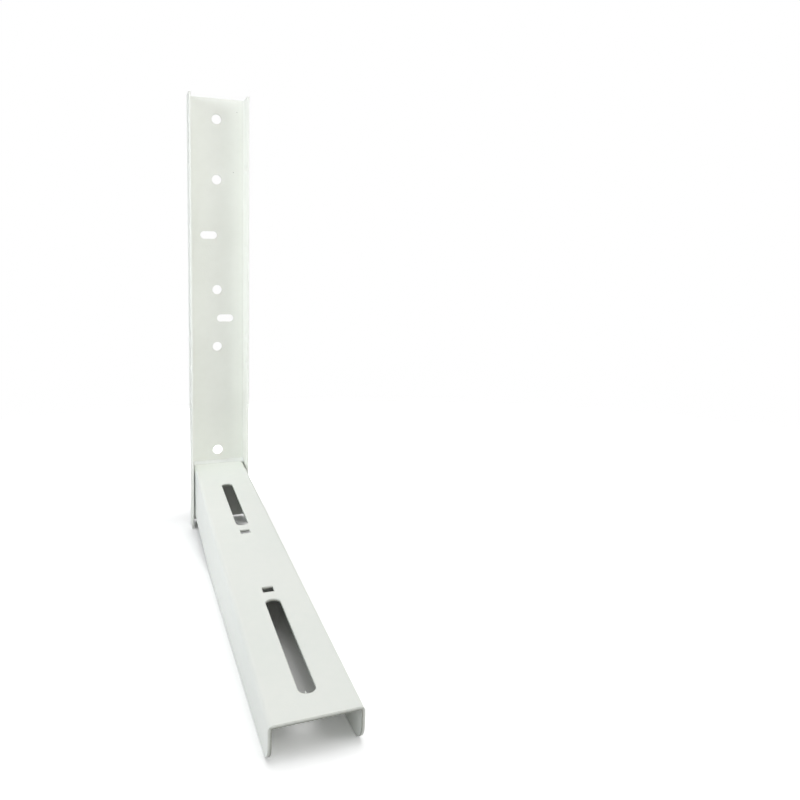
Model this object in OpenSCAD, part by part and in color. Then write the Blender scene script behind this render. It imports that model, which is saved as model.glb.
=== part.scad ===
// Wall bracket for the outdoor unit of an air conditioner: a folded wall channel with a folded arm
// welded to it. The origin is on the wall face of the channel, level with the arm's top face.
// +Z is up, the arm reaches towards -Y, and the wall lies at y = 0.

/* [Sheet] */
// Thickness of the sheet that both pieces are folded from
sheet = 2; // [1.5:0.1:3]
// Inner radius of every fold
bend_r = 1; // [0.6:0.1:2]

/* [Wall channel] */
// Width of the channel over its flanges
channel_w = 60; // [52:1:90]
// Depth of the channel from the wall to its flange edges
channel_d = 28; // [24:1:45]
// Height of the channel above the arm's top face
channel_rise = 392; // [330:1:600]
// Length of the channel below the arm's top face
channel_drop = 64; // [64:1:120]

/* [Wall fixings] */
// Diameter of the round holes in the web
wall_hole_d = 10; // [6:0.5:11]
// Distance between the two holes of each pair
hole_pitch = 62; // [50:1:70]
// Height of the lowest pair's upper hole above the arm's top face
seat_hole_rise = 14; // [10:1:18]
// Distance from the channel's top end to the first hole
top_margin = 21; // [12:1:30]
// Length of the two level slots in the web, from end to end
web_slot_l = 17.5; // [12:0.5:20]
// Width of the two level slots in the web
web_slot_w = 8; // [5:0.5:10]
// Distance of each level slot's centre from the middle of the web
web_slot_shift = 8.5; // [0:0.5:12]

/* [Flange holes] */
// Diameter of the small holes in the channel's flanges
flange_hole_d = 6.5; // [3:0.5:8]
// Distance from a flange's free edge to its hole centres
flange_hole_edge = 7.5; // [6:0.5:12]
// Distance between the two lower flange holes
flange_pair_pitch = 31; // [20:1:40]
// Distance of that pair's middle below the middle of the wall fixings
flange_pair_drop = 32; // [10:1:45]
// Distance from the channel's top end to the single flange hole
flange_top_margin = 71.5; // [20:0.5:90]

/* [Arm] */
// Length of the arm from the channel's web to its tip
arm_l = 440; // [400:5:600]
// Depth of the arm's sides next to the wall
arm_d = 50; // [44:1:60]
// Depth that the sides' slanted edges reach at the tip
tip_d = 23.5; // [20:0.5:34]
// Length over which the sides keep their full depth
level_run = 160; // [60:5:240]
// Radius of the sides' lower corners at the tip
tip_r = 14; // [3:0.5:14]
// Clearance between the arm and the folds inside the channel, on each side
fold_gap = 0.25; // [0.1:0.05:2]

/* [Arm slots] */
// Length of the two long slots, from end to end
slot_l = 108; // [60:1:120]
// Width of the two long slots
slot_w = 10.5; // [7:0.5:14]
// Distance between the centres of the two long slots
slot_pitch = 240; // [180:1:260]
// Distance from the arm's tip to the front slot
slot_margin = 20; // [10:1:30]
// Side of the two square holes
square_hole = 8; // [4:0.5:10]
// Distance from each long slot's inner end to its square hole
square_gap = 10; // [4:0.5:12]

/* [Welds] */
// Leg of the weld beads
weld_leg = 4; // [2:0.5:4]
// Length of the two beads inside the arm
side_weld_l = 28; // [16:1:32]
// Distance from the arm's lower edge to those beads
side_weld_margin = 2; // [1:1:6]
// Depth to which the top bead seeps into the gaps beside the arm
weld_seep = 1.5; // [0.5:0.5:3]

/* [Hidden] */
$fn = 64;
// Length by which a cutting shape runs past the faces that it cuts
past = 1;
coat = [0.91, 0.925, 0.895];
web_y = -sheet;
fold_out = bend_r + sheet;
arm_w = channel_w - 2 * (fold_out + fold_gap);
arm_inner_w = arm_w - 2 * sheet;
low_pair_z = seat_hole_rise - hole_pitch / 2;
top_pair_z = channel_rise - top_margin - hole_pitch / 2;
mid_pair_z = (low_pair_z + top_pair_z) / 2;
wall_hole_z = [for (pair = [low_pair_z, mid_pair_z, top_pair_z], side = [-1, 1]) pair + side * hole_pitch / 2];
left_slot_z = (mid_pair_z + top_pair_z) / 2;
flange_pair_z = mid_pair_z - flange_pair_drop;
flange_hole_z = [flange_pair_z - flange_pair_pitch / 2, flange_pair_z + flange_pair_pitch / 2,
                 channel_rise - flange_top_margin];
front_slot_s = arm_l - slot_margin - slot_l / 2;
rear_slot_s = front_slot_s - slot_pitch;
square_shift = slot_l / 2 + square_gap + square_hole / 2;
// A bead is the part of a round bar that stands out of the corner; the bar's axis lies this deep in both faces
weld_depth = weld_leg * 0.75;
weld_bar_r = sqrt(pow(weld_leg + weld_depth, 2) + pow(weld_depth, 2));
// The top bead's bar ends in the middle of the flanges, which trim it
top_bar_l = channel_w - sheet;

// Outline of a folded U: a web on the X axis, with its outer face on y = 0, and flanges towards +Y
module u_outline(width, depth) {
    difference() {
        union() {
            for (side = [-1, 1])
                translate([side * (width / 2 - fold_out), fold_out])
                    circle(r = fold_out);
            translate([-width / 2 + fold_out, 0])
                square([width - 2 * fold_out, fold_out]);
            translate([-width / 2, fold_out])
                square([width, depth - fold_out]);
        }
        for (side = [-1, 1])
            translate([side * (width / 2 - fold_out), fold_out])
                circle(r = bend_r);
        translate([-width / 2 + fold_out, sheet])
            square([width - 2 * fold_out, bend_r]);
        translate([-width / 2 + sheet, fold_out])
            square([width - 2 * sheet, depth - fold_out + past]);
    }
}

// Rounded slot, centred on the origin, with its length along X
module slot_outline(length, width) {
    for (side = [-1, 1])
        translate([side * (length - width) / 2, 0])
            circle(d = width);
    square([length - width, width], center = true);
}

// Shape that cuts the web, from an outline drawn in the web's plane
module through_web()
    translate([0, past, 0])
        rotate([90, 0, 0])
            linear_extrude(sheet + 2 * past)
                children();

// Shape that cuts the arm's top, from an outline whose X runs from the web towards the tip
module through_top()
    translate([0, web_y, -sheet - past])
        rotate([0, 0, -90])
            linear_extrude(sheet + 2 * past)
                children();

module web_holes()
    through_web() {
        for (z = wall_hole_z)
            translate([0, z])
                circle(d = wall_hole_d);
        translate([-web_slot_shift, left_slot_z])
            slot_outline(web_slot_l, web_slot_w);
        translate([web_slot_shift, mid_pair_z])
            slot_outline(web_slot_l, web_slot_w);
    }

module flange_holes()
    for (z = flange_hole_z)
        translate([0, flange_hole_edge - channel_d, z])
            rotate([0, 90, 0])
                cylinder(d = flange_hole_d, h = channel_w + 2 * past, center = true);

// The channel's folded sheet before it is punched
module channel_fold()
    translate([0, 0, -channel_drop])
        linear_extrude(channel_rise + channel_drop)
            mirror([0, 1])
                u_outline(channel_w, channel_d);

module wall_channel()
    color(coat)
        difference() {
            channel_fold();
            web_holes();
            flange_holes();
        }

// Side view of the arm: X runs from the web towards the tip and Y upwards, with a rounded lower corner
module arm_side_outline() {
    slope = atan2(arm_d - tip_d, arm_l - level_run);
    corner_x = arm_l - tip_r;
    corner_y = -arm_d + (corner_x - level_run) * tan(slope) + tip_r / cos(slope);
    difference() {
        polygon([[0, 0], [arm_l, 0], [arm_l, -tip_d], [level_run, -arm_d], [0, -arm_d]]);
        translate([corner_x, corner_y])
            difference() {
                polygon([[0, 0], [2 * tip_r, 0], [2 * tip_r, -2 * tip_r],
                         [2 * tip_r * sin(slope), -2 * tip_r * cos(slope)]]);
                circle(r = tip_r);
            }
    }
}

// The arm's folded sheet with square ends, before it is trimmed and punched
module arm_fold()
    translate([0, web_y, 0])
        rotate([90, 0, 0])
            linear_extrude(arm_l)
                mirror([0, 1])
                    u_outline(arm_w, arm_d);

module arm()
    color(coat)
        difference() {
            intersection() {
                arm_fold();
                translate([-arm_w / 2 - past, web_y, 0])
                    rotate([90, 0, -90])
                        mirror([0, 0, 1])
                            linear_extrude(arm_w + 2 * past)
                                arm_side_outline();
            }
            through_top() {
                for (s = [rear_slot_s, front_slot_s])
                    translate([s, 0])
                        slot_outline(slot_l, slot_w);
                for (s = [rear_slot_s + square_shift, front_slot_s - square_shift])
                    translate([s, 0])
                        square(square_hole, center = true);
            }
        }

// Bead across the arm's top, from flange to flange, that seeps a little way down the gaps at both ends
module top_weld()
    color(coat)
        difference() {
            intersection() {
                translate([0, web_y + weld_depth, -weld_depth])
                    rotate([0, 90, 0])
                        cylinder(r = weld_bar_r, h = top_bar_l, center = true);
                translate([-top_bar_l / 2, web_y - weld_leg, -weld_seep])
                    cube([top_bar_l, weld_leg, weld_leg + weld_seep]);
            }
            channel_fold();
            arm_fold();
        }

// Bead in the corner between the web and the inner face of one side of the arm: side is -1 or 1
module side_weld(side) {
    end_reach = sqrt(pow(weld_bar_r, 2) - 2 * pow(weld_depth, 2));
    run = side_weld_l - 2 * end_reach;
    color(coat)
        translate([side * arm_inner_w / 2, web_y, side_weld_margin + side_weld_l / 2 - arm_d])
            intersection() {
                translate([side * weld_depth, weld_depth, 0]) {
                    cylinder(r = weld_bar_r, h = run, center = true);
                    for (end = [-1, 1])
                        translate([0, 0, end * run / 2])
                            sphere(r = weld_bar_r);
                }
                translate([side > 0 ? -weld_leg : 0, -weld_leg, -side_weld_l / 2])
                    cube([weld_leg, weld_leg, side_weld_l]);
            }
}

module left_weld() side_weld(-1);

module right_weld() side_weld(1);

wall_channel();
arm();
top_weld();
left_weld();
right_weld();
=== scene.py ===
"""Wall bracket for an air conditioner's outdoor unit: a coated wall channel, a slotted arm and weld beads.

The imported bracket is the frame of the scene. Its two folded sheets keep their shapes and get a powder coat.
The weld beads are made again with their ripples. Lengths are in metres.
"""
import logging
import math
from dataclasses import dataclass, replace
from enum import Enum

import bmesh
import bpy
from mathutils import Matrix, Vector, noise


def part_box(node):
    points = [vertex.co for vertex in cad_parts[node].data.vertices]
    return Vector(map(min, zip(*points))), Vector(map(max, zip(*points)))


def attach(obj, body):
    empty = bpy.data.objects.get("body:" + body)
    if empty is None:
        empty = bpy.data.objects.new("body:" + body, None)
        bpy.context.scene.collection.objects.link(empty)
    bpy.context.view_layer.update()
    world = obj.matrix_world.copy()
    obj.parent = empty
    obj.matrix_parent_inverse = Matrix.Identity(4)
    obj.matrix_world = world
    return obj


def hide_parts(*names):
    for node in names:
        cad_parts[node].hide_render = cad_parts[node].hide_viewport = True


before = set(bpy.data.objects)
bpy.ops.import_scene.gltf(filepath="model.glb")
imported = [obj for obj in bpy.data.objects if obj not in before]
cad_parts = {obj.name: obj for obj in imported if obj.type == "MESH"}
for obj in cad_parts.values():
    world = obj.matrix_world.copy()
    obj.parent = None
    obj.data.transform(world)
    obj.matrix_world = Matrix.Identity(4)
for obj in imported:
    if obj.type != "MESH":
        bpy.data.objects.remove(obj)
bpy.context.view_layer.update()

BODY = "root"
MM = 0.001
# The web's front face, which the arm and the beads meet, as a place on the Y axis
WEB_FRONT = -2.0 * MM
PHOTO_SIDE = 800
FULL_LEVEL = 255
LOG = logging.getLogger("bracket")

Colour = tuple[float, float, float]


class Sheet(Enum):
    """The two folded sheets, by the names of their nodes."""

    CHANNEL = "wall_channel"
    ARM = "arm"


class BeadRun(Enum):
    """The weld beads, by the names of their nodes."""

    TOP = "top_weld"
    LEFT = "left_weld"
    RIGHT = "right_weld"


class Axis(Enum):
    """An axis that a bead runs along, by its place in a vector."""

    X = 0
    Z = 2


class NodeBench:
    """Adds shader nodes to one material or world and joins them."""

    def __init__(self, tree: bpy.types.NodeTree) -> None:
        """Empties the tree.

        Args:
            tree: The node tree of a material or world.
        """
        self.tree = tree
        tree.nodes.clear()

    def add(self, kind: str, **settings: object) -> bpy.types.Node:
        """Adds a node.

        Args:
            kind: The node's type name.
            settings: Properties of the node, such as its operation.

        Returns:
            The new node.
        """
        node = self.tree.nodes.new(kind)
        for name, value in settings.items():
            setattr(node, name, value)
        return node

    def put(self, value: object, socket: bpy.types.NodeSocket) -> None:
        """Feeds an input with a node's output, or sets it to a number or colour.

        Args:
            value: An output socket, a number or a tuple.
            socket: The input that takes it.
        """
        if isinstance(value, bpy.types.NodeSocket):
            self.tree.links.new(value, socket)
        else:
            socket.default_value = value

    def sum(self, kind: str, first: object, second: object = 0.0) -> bpy.types.NodeSocket:
        """Works out one step of arithmetic.

        Args:
            kind: The operation's name, such as MULTIPLY.
            first: The first number or socket.
            second: The second number or socket, for the operations that take one.

        Returns:
            The socket of the result.
        """
        node = self.add("ShaderNodeMath", operation=kind)
        for value, socket in zip((first, second), node.inputs):
            self.put(value, socket)
        return node.outputs[0]

    def grain(self, place: object, scale: float, detail: float, rough: float = 0.5) -> bpy.types.NodeSocket:
        """Adds a noise pattern.

        Args:
            place: The socket that gives the position.
            scale: Grains per metre.
            detail: How many finer layers it has.
            rough: How strong the finer layers are.

        Returns:
            The socket of the noise, from 0 to 1.
        """
        node = self.add("ShaderNodeTexNoise")
        self.put(place, node.inputs["Vector"])
        self.put(scale, node.inputs["Scale"])
        self.put(detail, node.inputs["Detail"])
        self.put(rough, node.inputs["Roughness"])
        return node.outputs["Fac"]

    def spread(
        self, value: object, low: float, high: float, to_low: float, to_high: float
    ) -> bpy.types.NodeSocket:
        """Maps a range of values to another one, and holds the result inside it.

        Args:
            value: The socket to map.
            low: The value that becomes to_low.
            high: The value that becomes to_high.
            to_low: The result at low.
            to_high: The result at high.

        Returns:
            The socket of the result.
        """
        node = self.add("ShaderNodeMapRange", clamp=True)
        for number, socket in zip((value, low, high, to_low, to_high), node.inputs):
            self.put(number, socket)
        return node.outputs[0]

    def blend(self, share: object, first: object, second: object) -> bpy.types.NodeSocket:
        """Mixes two colours.

        Args:
            share: How much of the second colour shows, from 0 to 1.
            first: The first colour or socket.
            second: The second colour or socket.

        Returns:
            The socket of the mixed colour.
        """
        node = self.add("ShaderNodeMix", data_type="RGBA", clamp_factor=False)
        self.put(share, node.inputs[0])
        self.put(first if isinstance(first, bpy.types.NodeSocket) else (*first, 1.0), node.inputs[6])
        self.put(second if isinstance(second, bpy.types.NodeSocket) else (*second, 1.0), node.inputs[7])
        return node.outputs[2]


def linear(red: int, green: int, blue: int) -> Colour:
    """Turns a colour as seen on a screen into the shader's own scale, by the sRGB formula.

    Args:
        red: Red from 0 to 255.
        green: Green from 0 to 255.
        blue: Blue from 0 to 255.

    Returns:
        The colour on a linear scale from 0 to 1.
    """
    shares = (channel / FULL_LEVEL for channel in (red, green, blue))
    return tuple(
        share / 12.92 if share <= 0.04045 else ((share + 0.055) / 1.055) ** 2.4
        for share in shares
    )


@dataclass(frozen=True)
class PowderCoat:
    """Satin powder coat on folded sheet steel, with its texture, dust nibs, thin edges and painted shade on
    the arm's cut faces.
    """

    name: str
    pale: Colour
    deep: Colour
    edge: Colour
    gloss_low: float = 0.34
    gloss_high: float = 0.46
    cloud_scale: float = 9.0
    mottle_scale: float = 140.0
    peel_scale: float = 620.0
    peel_depth: float = 0.07 * MM
    grit_scale: float = 2600.0
    grit_depth: float = 0.012 * MM
    nib_scale: float = 75.0
    nib_size: float = 0.022
    nib_share: float = 0.10
    nib_tint: float = 0.5
    nib_depth: float = 0.06 * MM
    satin_scale: float = 55.0
    worn_scale: float = 420.0
    worn_least: float = 0.45
    edge_radius: float = 0.45 * MM
    edge_samples: int = 6
    edge_turned: float = 0.72
    edge_flat: float = 0.99
    edge_dulling: float = 0.12
    specks: tuple[tuple[float, float, float], ...] = ()
    speck_size: float = 0.55 * MM
    speck_tone: Colour = (0.27, 0.28, 0.25)
    # Painted shade on the arm's cut faces: its colour, the depths where it starts and is full, and its least
    # strength in patches.
    cut: Colour | None = None
    cut_shade_start: float = 0.3 * MM
    cut_shade_full: float = 1.8 * MM
    cut_shade_least: float = 0.8
    end_tilt: float = 0.03
    upright_tilt: float = 0.5
    fold_reach: float = 6.0 * MM

    def material(self) -> bpy.types.Material:
        """Builds the coat.

        Returns:
            The new material.
        """
        material = bpy.data.materials.new(self.name)
        material.use_nodes = True
        bench = NodeBench(material.node_tree)
        place = bench.add("ShaderNodeTexCoord").outputs["Object"]
        shader = bench.add("ShaderNodeBsdfPrincipled")
        rim = self._rim(bench)
        nib = self._nibs(bench, place)
        bench.put(self._colour(bench, place, rim, nib), shader.inputs["Base Color"])
        bench.put(self._gloss(bench, place, rim), shader.inputs["Roughness"])
        bench.put(self._relief(bench, place, nib), shader.inputs["Normal"])
        shader.inputs["IOR"].default_value = 1.5
        shader.inputs["Specular IOR Level"].default_value = 0.42
        shader.inputs["Coat Weight"].default_value = 0.06
        shader.inputs["Coat Roughness"].default_value = 0.3
        end = bench.add("ShaderNodeOutputMaterial")
        bench.put(shader.outputs["BSDF"], end.inputs["Surface"])
        material.diffuse_color = (*self.pale, 1.0)
        return material

    def _rim(self, bench: NodeBench) -> bpy.types.NodeSocket:
        """Finds the sheet's edges, where the coat draws back and is thin.

        Args:
            bench: The material's node bench.

        Returns:
            A socket that is 1 at an edge and 0 away from it.
        """
        bevel = bench.add("ShaderNodeBevel", samples=self.edge_samples)
        bevel.inputs["Radius"].default_value = self.edge_radius
        true_normal = bench.add("ShaderNodeNewGeometry").outputs["True Normal"]
        across = bench.add("ShaderNodeVectorMath", operation="DOT_PRODUCT")
        bench.put(bevel.outputs["Normal"], across.inputs[0])
        bench.put(true_normal, across.inputs[1])
        return bench.spread(across.outputs["Value"], self.edge_turned, self.edge_flat, 1.0, 0.0)

    def _nibs(self, bench: NodeBench, place: bpy.types.NodeSocket) -> bpy.types.NodeSocket:
        """Scatters the few dust nibs that every powder coat has.

        Args:
            bench: The material's node bench.
            place: The position on the bracket.

        Returns:
            A socket that is 1 on a nib.
        """
        cells = bench.add("ShaderNodeTexVoronoi")
        bench.put(place, cells.inputs["Vector"])
        bench.put(self.nib_scale, cells.inputs["Scale"])
        split = bench.add("ShaderNodeSeparateColor")
        bench.put(cells.outputs["Color"], split.inputs[0])
        chosen = bench.sum("LESS_THAN", split.outputs[0], self.nib_share)
        size = bench.spread(split.outputs[1], 0.0, 1.0, 0.4 * self.nib_size, self.nib_size)
        near = bench.sum("DIVIDE", cells.outputs["Distance"], size)
        dot = bench.spread(near, 0.7, 1.2, 1.0, 0.0)
        return bench.sum("MULTIPLY", dot, chosen)

    def _colour(
        self,
        bench: NodeBench,
        place: bpy.types.NodeSocket,
        rim: bpy.types.NodeSocket,
        nib: bpy.types.NodeSocket,
    ) -> bpy.types.NodeSocket:
        """Varies the coat's colour in clouds, mottles, edges and nibs, paints shade on cut faces and adds
        specks.

        Args:
            bench: The material's node bench.
            place: The position on the bracket.
            rim: The share of edge.
            nib: The share of nib.

        Returns:
            The socket of the colour.
        """
        cloud = bench.spread(bench.grain(place, self.cloud_scale, 3.0), 0.3, 0.7, 0.0, 0.75)
        mottle = bench.spread(bench.grain(place, self.mottle_scale, 2.0), 0.35, 0.7, 0.0, 0.25)
        coat = bench.blend(bench.sum("ADD", cloud, mottle), self.pale, self.deep)
        worn = bench.spread(bench.grain(place, self.worn_scale, 3.0), 0.35, 0.75, self.worn_least, 1.0)
        edged = bench.blend(bench.sum("MULTIPLY", rim, worn), coat, self.edge)
        colour = bench.blend(bench.sum("MULTIPLY", nib, self.nib_tint), edged, self.edge)
        # Painted shade: the arm's cut faces and hole walls darken towards the underside and the inside of the
        # folds, made patchy by noise.
        if self.cut:
            patchy_shade = bench.spread(worn, self.worn_least, 1.0, self.cut_shade_least, 1.0)
            colour = bench.blend(bench.sum("MULTIPLY", self._cut_face_shade(bench, place), patchy_shade), colour, self.cut)
        for speck in self.specks:
            gap = bench.add("ShaderNodeVectorMath", operation="DISTANCE")
            bench.put(place, gap.inputs[0])
            bench.put(speck, gap.inputs[1])
            dirt = bench.spread(gap.outputs["Value"], 0.4 * self.speck_size, self.speck_size, 1.0, 0.0)
            colour = bench.blend(dirt, colour, self.speck_tone)
        return colour

    def _cut_face_shade(self, bench: NodeBench, place: bpy.types.NodeSocket) -> bpy.types.NodeSocket:
        """Finds where the arm's sheet was cut or punched, and how near that is to its underside and inner
        side.

        There it paints shade, darker towards the underside and towards the inside of the folds, where shade
        falls.

        Args:
            bench: The material's node bench.
            place: The position on the bracket.

        Returns:
            A socket of painted shade that is 0 on the sheet's own faces and rises to 1 at the lower and inner
            edges of a cut face.
        """
        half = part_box(Sheet.ARM.value)[1].x
        facing = bench.add("ShaderNodeSeparateXYZ")
        bench.put(bench.add("ShaderNodeNewGeometry").outputs["True Normal"], facing.inputs[0])
        spot = bench.add("ShaderNodeSeparateXYZ")
        bench.put(place, spot.inputs[0])
        aside = bench.sum("ABSOLUTE", spot.outputs[0])
        end_face = bench.sum("GREATER_THAN", bench.sum("ABSOLUTE", facing.outputs[1]), self.end_tilt)
        upright = bench.sum("LESS_THAN", bench.sum("ABSOLUTE", facing.outputs[2]), self.upright_tilt)
        in_top = bench.sum("LESS_THAN", aside, half - self.fold_reach)
        face = bench.sum("MAXIMUM", end_face, bench.sum("MULTIPLY", upright, in_top))
        # Painted shade grows with depth below the top face and with nearness to the inside of the folds.
        below = bench.sum("MULTIPLY", spot.outputs[2], -1.0)
        depth = bench.sum("MINIMUM", below, bench.sum("SUBTRACT", half, aside))
        return bench.sum("MULTIPLY", face, bench.spread(depth, self.cut_shade_start, self.cut_shade_full, 0.0, 1.0))

    def _gloss(
        self, bench: NodeBench, place: bpy.types.NodeSocket, rim: bpy.types.NodeSocket
    ) -> bpy.types.NodeSocket:
        """Varies the coat's roughness.

        Args:
            bench: The material's node bench.
            place: The position on the bracket.
            rim: The share of edge.

        Returns:
            The socket of the roughness.
        """
        satin = bench.grain(place, self.satin_scale, 4.0, 0.6)
        roughness = bench.spread(satin, 0.3, 0.7, self.gloss_low, self.gloss_high)
        return bench.sum("ADD", roughness, bench.sum("MULTIPLY", rim, self.edge_dulling))

    def _relief(
        self, bench: NodeBench, place: bpy.types.NodeSocket, nib: bpy.types.NodeSocket
    ) -> bpy.types.NodeSocket:
        """Lays the orange peel, the grit and the nibs over the sheet's softened edges.

        Args:
            bench: The material's node bench.
            place: The position on the bracket.
            nib: The share of nib.

        Returns:
            The socket of the normal.
        """
        soft = bench.add("ShaderNodeBevel", samples=self.edge_samples)
        soft.inputs["Radius"].default_value = self.edge_radius
        layers = (
            (bench.grain(place, self.peel_scale, 1.0), self.peel_depth),
            (bench.grain(place, self.grit_scale, 2.0), self.grit_depth),
            (nib, self.nib_depth),
        )
        normal = soft.outputs["Normal"]
        for height, depth in layers:
            bump = bench.add("ShaderNodeBump")
            bump.inputs["Strength"].default_value = 1.0
            bump.inputs["Distance"].default_value = depth
            bench.put(height, bump.inputs["Height"])
            bench.put(normal, bump.inputs["Normal"])
            normal = bump.outputs["Normal"]
        return normal


@dataclass(frozen=True)
class StudioPaper:
    """White paper under the bracket, which takes its shadow and fades into the white surround."""

    name: str = "studio_paper"
    tone: Colour = (0.5, 0.5, 0.5)
    near_lift: float = 0.76
    far_lift: float = 4.0
    near: float = 0.25
    far: float = 0.75
    rim: float = 1.15
    middle: tuple[float, float, float] = (0.0, -0.2, 0.0)
    fibre_scale: float = 300.0
    fibre_shade: float = 0.98

    def material(self) -> bpy.types.Material:
        """Builds the paper.

        Returns:
            The new material.
        """
        material = bpy.data.materials.new(self.name)
        material.use_nodes = True
        bench = NodeBench(material.node_tree)
        place = bench.add("ShaderNodeTexCoord").outputs["Object"]
        fibre = bench.spread(bench.grain(place, self.fibre_scale, 3.0), 0.3, 0.7, 0.0, 1.0)
        shaded = tuple(self.fibre_shade * part for part in self.tone)
        matt = bench.add("ShaderNodeBsdfDiffuse")
        bench.put(bench.blend(fibre, self.tone, shaded), matt.inputs["Color"])
        span = bench.add("ShaderNodeVectorMath", operation="DISTANCE")
        bench.put(place, span.inputs[0])
        bench.put(self.middle, span.inputs[1])
        path = bench.add("ShaderNodeLightPath")
        grown = bench.spread(span.outputs["Value"], self.near, self.far, self.near_lift, self.far_lift)
        straight = bench.sum("MULTIPLY", path.outputs["Is Camera Ray"], grown)
        mirrored = bench.sum("MULTIPLY", path.outputs["Is Glossy Ray"], self.near_lift)
        lift = bench.sum("MAXIMUM", straight, mirrored)
        bright = bench.add("ShaderNodeBsdfDiffuse")
        bench.put(bench.blend(lift, (0.0, 0.0, 0.0), (1.0, 1.0, 1.0)), bright.inputs["Color"])
        both = bench.add("ShaderNodeAddShader")
        bench.put(matt.outputs["BSDF"], both.inputs[0])
        bench.put(bright.outputs["BSDF"], both.inputs[1])
        faded = bench.add("ShaderNodeMixShader")
        bench.put(bench.spread(span.outputs["Value"], self.far, self.rim, 0.0, 1.0), faded.inputs[0])
        bench.put(both.outputs["Shader"], faded.inputs[1])
        bench.put(bench.add("ShaderNodeBsdfTransparent").outputs["BSDF"], faded.inputs[2])
        end = bench.add("ShaderNodeOutputMaterial")
        bench.put(faded.outputs["Shader"], end.inputs["Surface"])
        return material


@dataclass
class FoldedSheet:
    """One folded sheet of the bracket, which keeps its CAD shape and gets its coat."""

    sheet: Sheet
    coat: PowderCoat

    def dress(self) -> bpy.types.Object:
        """Gives the sheet its coat.

        Returns:
            The sheet's object.
        """
        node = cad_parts[self.sheet.value]
        coat = self.coat.material()
        for slot in node.material_slots:
            slot.material = coat
        return node


@dataclass
class WeldBead:
    """A rippled bead in the place of a plain CAD bead."""

    run: BeadRun
    along: Axis
    coat: PowderCoat
    grain: float = 0.3 * MM
    pitch: float = 2.6 * MM
    bow: float = 0.18
    jitter: float = 0.35
    jitter_scale: float = 180.0
    rise: float = 0.12
    fall: float = 1.6
    ripple: float = 0.12 * MM
    wander: float = 0.18 * MM
    wander_scale: float = 260.0
    wander_shift: tuple[float, float, float] = (3.0, 1.0, 7.0)
    leg: float = 4.0 * MM
    flatness: float = 1.2
    squat: float = 0.7

    def build(self) -> bpy.types.Object:
        """Builds the bead from the CAD bead's form and dresses it.

        Returns:
            The bead's object.
        """
        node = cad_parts[self.run.value]
        mesh = node.data.copy()
        mesh.name = f"{self.run.value}_bead"
        bead = bpy.data.objects.new(mesh.name, mesh)
        bpy.context.scene.collection.objects.link(bead)
        self._refine(bead)
        self._lay_ripples(bead.data)
        bead.data.shade_smooth()
        bead.data.materials.clear()
        bead.data.materials.append(self.coat.material())
        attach(bead, BODY)
        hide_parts(self.run.value)
        return bead

    def _refine(self, bead: bpy.types.Object) -> None:
        """Turns the plain bead into a fine even mesh.

        Args:
            bead: The bead's object.
        """
        remesh = bead.modifiers.new("fine", "REMESH")
        remesh.mode = "VOXEL"
        remesh.voxel_size = self.grain
        soften = bead.modifiers.new("soften", "SMOOTH")
        soften.factor = 0.5
        soften.iterations = 2
        fine = bpy.data.meshes.new_from_object(bead.evaluated_get(bpy.context.evaluated_depsgraph_get()))
        bead.modifiers.clear()
        old = bead.data
        bead.data = fine
        fine.name = bead.name
        bpy.data.meshes.remove(old)

    def _lay_ripples(self, mesh: bpy.types.Mesh) -> None:
        """Moves the bead's skin out and in, as the weld pool left it.

        Args:
            mesh: The bead's fine mesh.
        """
        shape = bmesh.new()
        shape.from_mesh(mesh)
        shape.normal_update()
        root = Vector((0.0, WEB_FRONT, 0.0))
        shift = Vector(self.wander_shift)
        for vertex in shape.verts:
            self._flatten(vertex)
            spot = vertex.co
            phase = (spot[self.along.value] + self.bow * (spot - root).length) / self.pitch
            phase += self.jitter * noise.noise(spot * self.jitter_scale)
            step = phase - math.floor(phase)
            wave = (1.0 - step) ** self.fall if step > self.rise else step / self.rise
            drift = noise.noise(spot * self.wander_scale + shift)
            vertex.co = spot + vertex.normal * (self.ripple * (wave - 0.5) + self.wander * drift)
        shape.to_mesh(mesh)
        shape.free()

    def _flatten(self, vertex: bmesh.types.BMVert) -> None:
        """Presses the top bead's full face back, just past the line between its two edges, and down.

        Args:
            vertex: A vertex of the bead.
        """
        if self.run is not BeadRun.TOP:
            return
        bulge = (WEB_FRONT - vertex.co.y) + vertex.co.z - self.leg
        if bulge > 0.0:
            vertex.co += Vector((0.0, 1.0, -1.0)) * (self.flatness * bulge / 2)
        if vertex.co.z > 0.0:
            vertex.co.z *= self.squat


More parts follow.
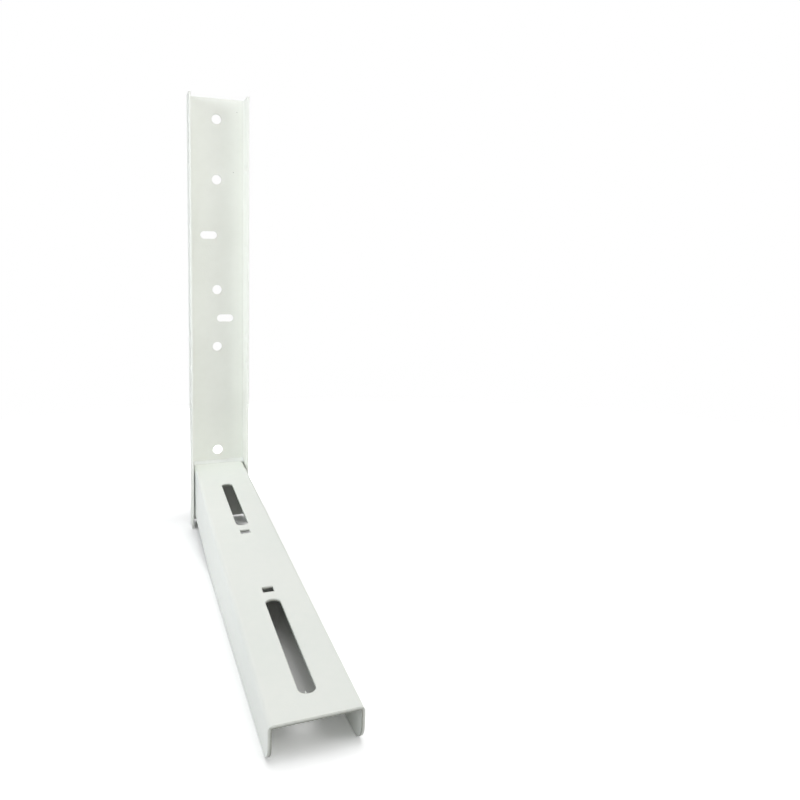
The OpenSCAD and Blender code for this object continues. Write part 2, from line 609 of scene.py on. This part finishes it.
@dataclass
class SlotBurr:
    """The small pointed nib of coat that hangs at the outer end of the front slot."""

    coat: PowderCoat
    x: float = -1.5 * MM
    y: float = -421.7 * MM
    reach: float = 2.7 * MM
    width: float = 1.2 * MM
    top: float = -0.01 * MM
    bottom: float = -0.9 * MM
    root: float = 0.25 * MM
    drift: float = 0.12 * MM
    bluntness: float = 0.7
    least_girth: float = 0.02
    rings: int = 12
    sides: int = 20

    def build(self) -> bpy.types.Object:
        """Builds the nib as a pointed drop that grows out of the slot's end.

        Returns:
            The nib's object.
        """
        shape = bmesh.new()
        loops = []
        for ring in range(self.rings):
            share = ring / (self.rings - 1)
            girth = math.cos(share * math.pi / 2) ** self.bluntness
            centre = Vector((self.x + self.drift * share, self.y - self.root + self.reach * share, 0.0))
            loop = []
            for side in range(self.sides):
                turn = 2 * math.pi * side / self.sides
                high = self.top - (self.top - self.bottom) * (1.0 - math.sin(turn)) / 2 * girth
                wide = self.width / 2 * math.cos(turn) * max(girth, self.least_girth)
                loop.append(shape.verts.new(centre + Vector((wide, 0.0, high))))
            loops.append(loop)
        for first, second in zip(loops, loops[1:]):
            for side in range(self.sides):
                after = (side + 1) % self.sides
                shape.faces.new((first[side], first[after], second[after], second[side]))
        shape.faces.new(loops[0][::-1])
        shape.faces.new(loops[-1])
        bmesh.ops.recalc_face_normals(shape, faces=shape.faces)
        mesh = bpy.data.meshes.new("slot_burr")
        shape.to_mesh(mesh)
        shape.free()
        mesh.shade_smooth()
        mesh.materials.append(self.coat.material())
        burr = bpy.data.objects.new("slot_burr", mesh)
        bpy.context.scene.collection.objects.link(burr)
        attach(burr, BODY)
        return burr


@dataclass(frozen=True)
class SoftLamp:
    """A square studio lamp behind a diffuser."""

    name: str
    place: tuple[float, float, float]
    aim: tuple[float, float, float]
    side: float
    power: float
    spread: float = 180.0
    tint: Colour = (1.0, 1.0, 1.0)

    def hang(self) -> bpy.types.Object:
        """Hangs the lamp.

        Returns:
            The lamp's object.
        """
        lamp = bpy.data.lights.new(self.name, "AREA")
        lamp.shape = "SQUARE"
        lamp.size = self.side
        lamp.energy = self.power
        lamp.color = self.tint
        lamp.spread = math.radians(self.spread)
        holder = bpy.data.objects.new(self.name, lamp)
        bpy.context.scene.collection.objects.link(holder)
        holder.location = self.place
        holder.rotation_euler = (Vector(self.aim) - Vector(self.place)).to_track_quat("-Z", "Y").to_euler()
        return holder


@dataclass
class Studio:
    """The floor, the white surround, the lamps and the camera."""

    floor_half: float = 1.4
    surround: float = 0.49
    cool: Colour = (0.95, 1.0, 1.05)
    camera_place: tuple[float, float, float] = (-0.090327, -0.772987, 0.253925)
    camera_right: tuple[float, float, float] = (0.936708, -0.348928, 0.028769)
    camera_up: tuple[float, float, float] = (0.019980, 0.135310, 0.990602)
    focal_pixels: float = 698.92
    centre_pixel: tuple[float, float] = (389.55, 331.56)

    def lean(self, foot: Vector) -> float:
        """Works out the slope of the plane that carries the foot's front corners and the arm's tip.

        Args:
            foot: A point on the line of the foot's front corners.

        Returns:
            The slope in radians.
        """
        spans = (vertex.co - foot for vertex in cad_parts[Sheet.ARM.value].data.vertices)
        return min(math.atan2(span.z, -span.y) for span in spans if span.y < 0.0)

    def lay_floor(self) -> bpy.types.Object:
        """Lays the paper on which the bracket stands unheld, on its foot and the arm's tip.

        Returns:
            The floor's object.
        """
        half = self.floor_half
        corners = [(-half, -half, 0.0), (half, -half, 0.0), (half, half, 0.0), (-half, half, 0.0)]
        mesh = bpy.data.meshes.new("floor")
        mesh.from_pydata(corners, [], [(0, 1, 2, 3)])
        mesh.materials.append(StudioPaper().material())
        floor = bpy.data.objects.new("floor", mesh)
        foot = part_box(Sheet.CHANNEL.value)[0]
        floor.location = (0.0, foot.y, foot.z)
        floor.rotation_euler.x = -self.lean(foot)
        bpy.context.scene.collection.objects.link(floor)
        return floor

    def light(self) -> list[bpy.types.Object]:
        """Lights the bracket softly from all round, most from above and from the right.

        Returns:
            The lamps' objects.
        """
        world = bpy.data.worlds.new("white_surround")
        world.use_nodes = True
        bench = NodeBench(world.node_tree)
        path = bench.add("ShaderNodeLightPath")
        seen = bench.sum("MAXIMUM", path.outputs["Is Camera Ray"], path.outputs["Is Transmission Ray"])
        strength = bench.spread(seen, 0.0, 1.0, self.surround, 1.0)
        sky = bench.add("ShaderNodeBackground")
        bench.put((1.0, 1.0, 1.0, 1.0), sky.inputs["Color"])
        bench.put(strength, sky.inputs["Strength"])
        end = bench.add("ShaderNodeOutputWorld")
        bench.put(sky.outputs["Background"], end.inputs["Surface"])
        bpy.context.scene.world = world
        lamps = (
            SoftLamp("overhead_lamp", (0.15, -0.25, 1.8), (0.0, -0.25, 0.0), 1.1, 6.5),
            SoftLamp("fore_lamp", (0.0, -0.9, 1.6), (0.0, -0.25, 0.0), 1.0, 3.8),
            SoftLamp("right_lamp", (1.2, -1.3, 0.8), (0.0, -0.1, 0.2), 0.8, 7.0),
            SoftLamp("front_lamp", (-0.1, -2.0, 1.2), (0.0, 0.0, 0.3), 0.5, 0.2, 30.0),
            SoftLamp("left_lamp", (-1.1, -0.6, 0.5), (0.0, 0.0, 0.25), 0.5, 0.53, 40.0, self.cool),
            SoftLamp("left_low_lamp", (-0.9, -0.42, 0.05), (0.0, -0.42, 0.0), 0.4, 2.4, 180.0, self.cool),
        )
        return [lamp.hang() for lamp in lamps]

    def set_camera(self) -> bpy.types.Object:
        """Stands the camera where the photograph was taken from.

        Returns:
            The camera's object.
        """
        right = Vector(self.camera_right)
        up = Vector(self.camera_up)
        back = right.cross(up)
        data = bpy.data.cameras.new("camera")
        data.sensor_width = 36.0
        data.lens = self.focal_pixels * data.sensor_width / PHOTO_SIDE
        data.shift_x = (PHOTO_SIDE / 2 - self.centre_pixel[0]) / PHOTO_SIDE
        data.shift_y = (self.centre_pixel[1] - PHOTO_SIDE / 2) / PHOTO_SIDE
        data.clip_start = 0.01
        data.clip_end = 100.0
        camera = bpy.data.objects.new("camera", data)
        bpy.context.scene.collection.objects.link(camera)
        turn = Matrix((right, up, back)).transposed().to_4x4()
        camera.matrix_world = Matrix.Translation(self.camera_place) @ turn
        bpy.context.scene.camera = camera
        return camera


CHANNEL_COAT = PowderCoat(
    "channel_powder_coat",
    pale=linear(238, 240, 234),
    deep=linear(232, 234, 227),
    edge=linear(234, 236, 230),
    edge_radius=0.6 * MM,
    specks=((21.2 * MM, WEB_FRONT, 379.6 * MM), (17.3 * MM, WEB_FRONT, 317.4 * MM)),
)
ARM_COAT = PowderCoat(
    "arm_powder_coat",
    pale=linear(239, 241, 235),
    deep=linear(233, 237, 231),
    edge=linear(204, 208, 196),
    edge_radius=1.0 * MM,
    # Colour of the painted shade on the arm's cut faces and hole walls.
    cut=linear(130, 133, 121),
)
# The nib keeps the arm's coat without the painted shade on cut faces.
NIB_COAT = replace(ARM_COAT, name="nib_powder_coat", edge_radius=0.1 * MM, cut=None)
WELD_COAT = PowderCoat(
    "weld_powder_coat",
    pale=linear(236, 238, 235),
    deep=linear(227, 229, 226),
    edge=linear(216, 218, 214),
    peel_scale=900.0,
    grit_depth=0.02 * MM,
)


def main() -> None:
    """Builds and dresses the bracket, then sets up the studio."""
    logging.basicConfig(level=logging.INFO, format="%(message)s")
    bpy.context.scene.view_settings.view_transform = "Standard"
    studio = Studio()
    LOG.info("camera: %s", studio.set_camera().name)
    for part in (FoldedSheet(Sheet.CHANNEL, CHANNEL_COAT), FoldedSheet(Sheet.ARM, ARM_COAT)):
        LOG.info("coated sheet: %s", part.dress().name)
    beads = (
        WeldBead(BeadRun.TOP, Axis.X, WELD_COAT),
        WeldBead(BeadRun.LEFT, Axis.Z, WELD_COAT),
        WeldBead(BeadRun.RIGHT, Axis.Z, WELD_COAT),
    )
    for bead in beads:
        LOG.info("bead: %s", bead.build().name)
    LOG.info("nib: %s", SlotBurr(NIB_COAT).build().name)
    LOG.info("floor: %s", studio.lay_floor().name)
    LOG.info("lamps: %d", len(studio.light()))


if __name__ == "__main__":
    main()
